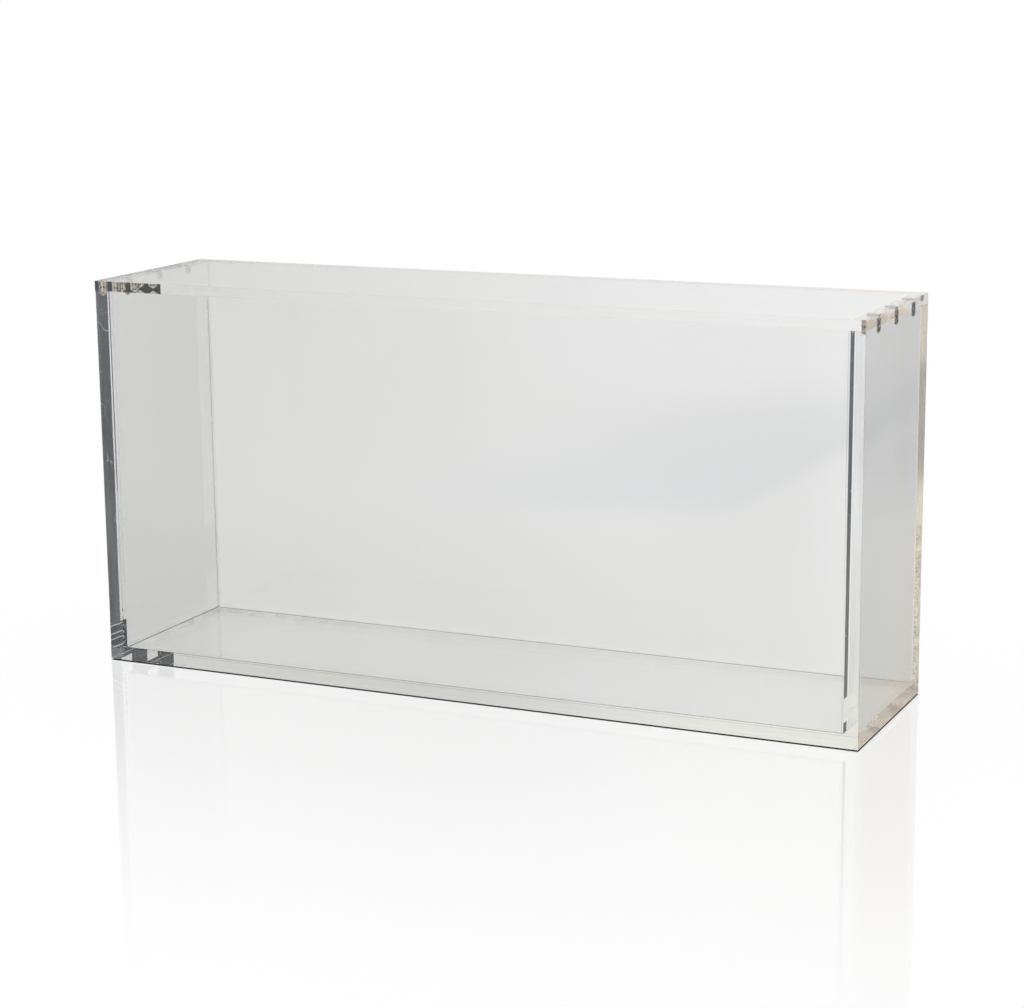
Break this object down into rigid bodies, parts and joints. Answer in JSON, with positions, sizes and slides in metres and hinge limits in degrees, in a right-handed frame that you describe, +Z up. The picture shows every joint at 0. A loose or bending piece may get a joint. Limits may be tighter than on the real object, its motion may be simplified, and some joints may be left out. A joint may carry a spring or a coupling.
{
  "type": "acrylic storage box",
  "caption": "Long narrow clear acrylic box of welded flat panels with a flat lift-off lid, held shut by small magnets set into the ends of the lid and the end panels.",
  "frame": {"origin": "middle of the footprint, on the surface that the box stands on", "axes": "+X along the length to the right, +Y from the front to the back, +Z up"},
  "size_m": [0.4, 0.1, 0.196],
  "materials": {
    "clear_acrylic": "clear cast acrylic with polished edges",
    "nickel_plate": "bright nickel plating"
  },
  "bodies": {
    "box": {"bottom_panel": "clear_acrylic", "left_end_panel": "clear_acrylic", "right_end_panel": "clear_acrylic", "front_panel": "clear_acrylic", "back_panel": "clear_acrylic", "end_magnet_left_front": "nickel_plate", "end_magnet_left_middle": "nickel_plate", "end_magnet_left_back": "nickel_plate", "end_magnet_right_front": "nickel_plate", "end_magnet_right_middle": "nickel_plate", "end_magnet_right_back": "nickel_plate"},
    "lid": {"lid": "clear_acrylic", "lid_magnet_left_front": "nickel_plate", "lid_magnet_left_middle": "nickel_plate", "lid_magnet_left_back": "nickel_plate", "lid_magnet_right_front": "nickel_plate", "lid_magnet_right_middle": "nickel_plate", "lid_magnet_right_back": "nickel_plate"}
  },
  "joints": [
    {"name": "lid_lift", "type": "slide", "parent": "box", "child": "lid", "axis": [0, 0, 1], "range_m": [0, 0.2]}
  ]
}
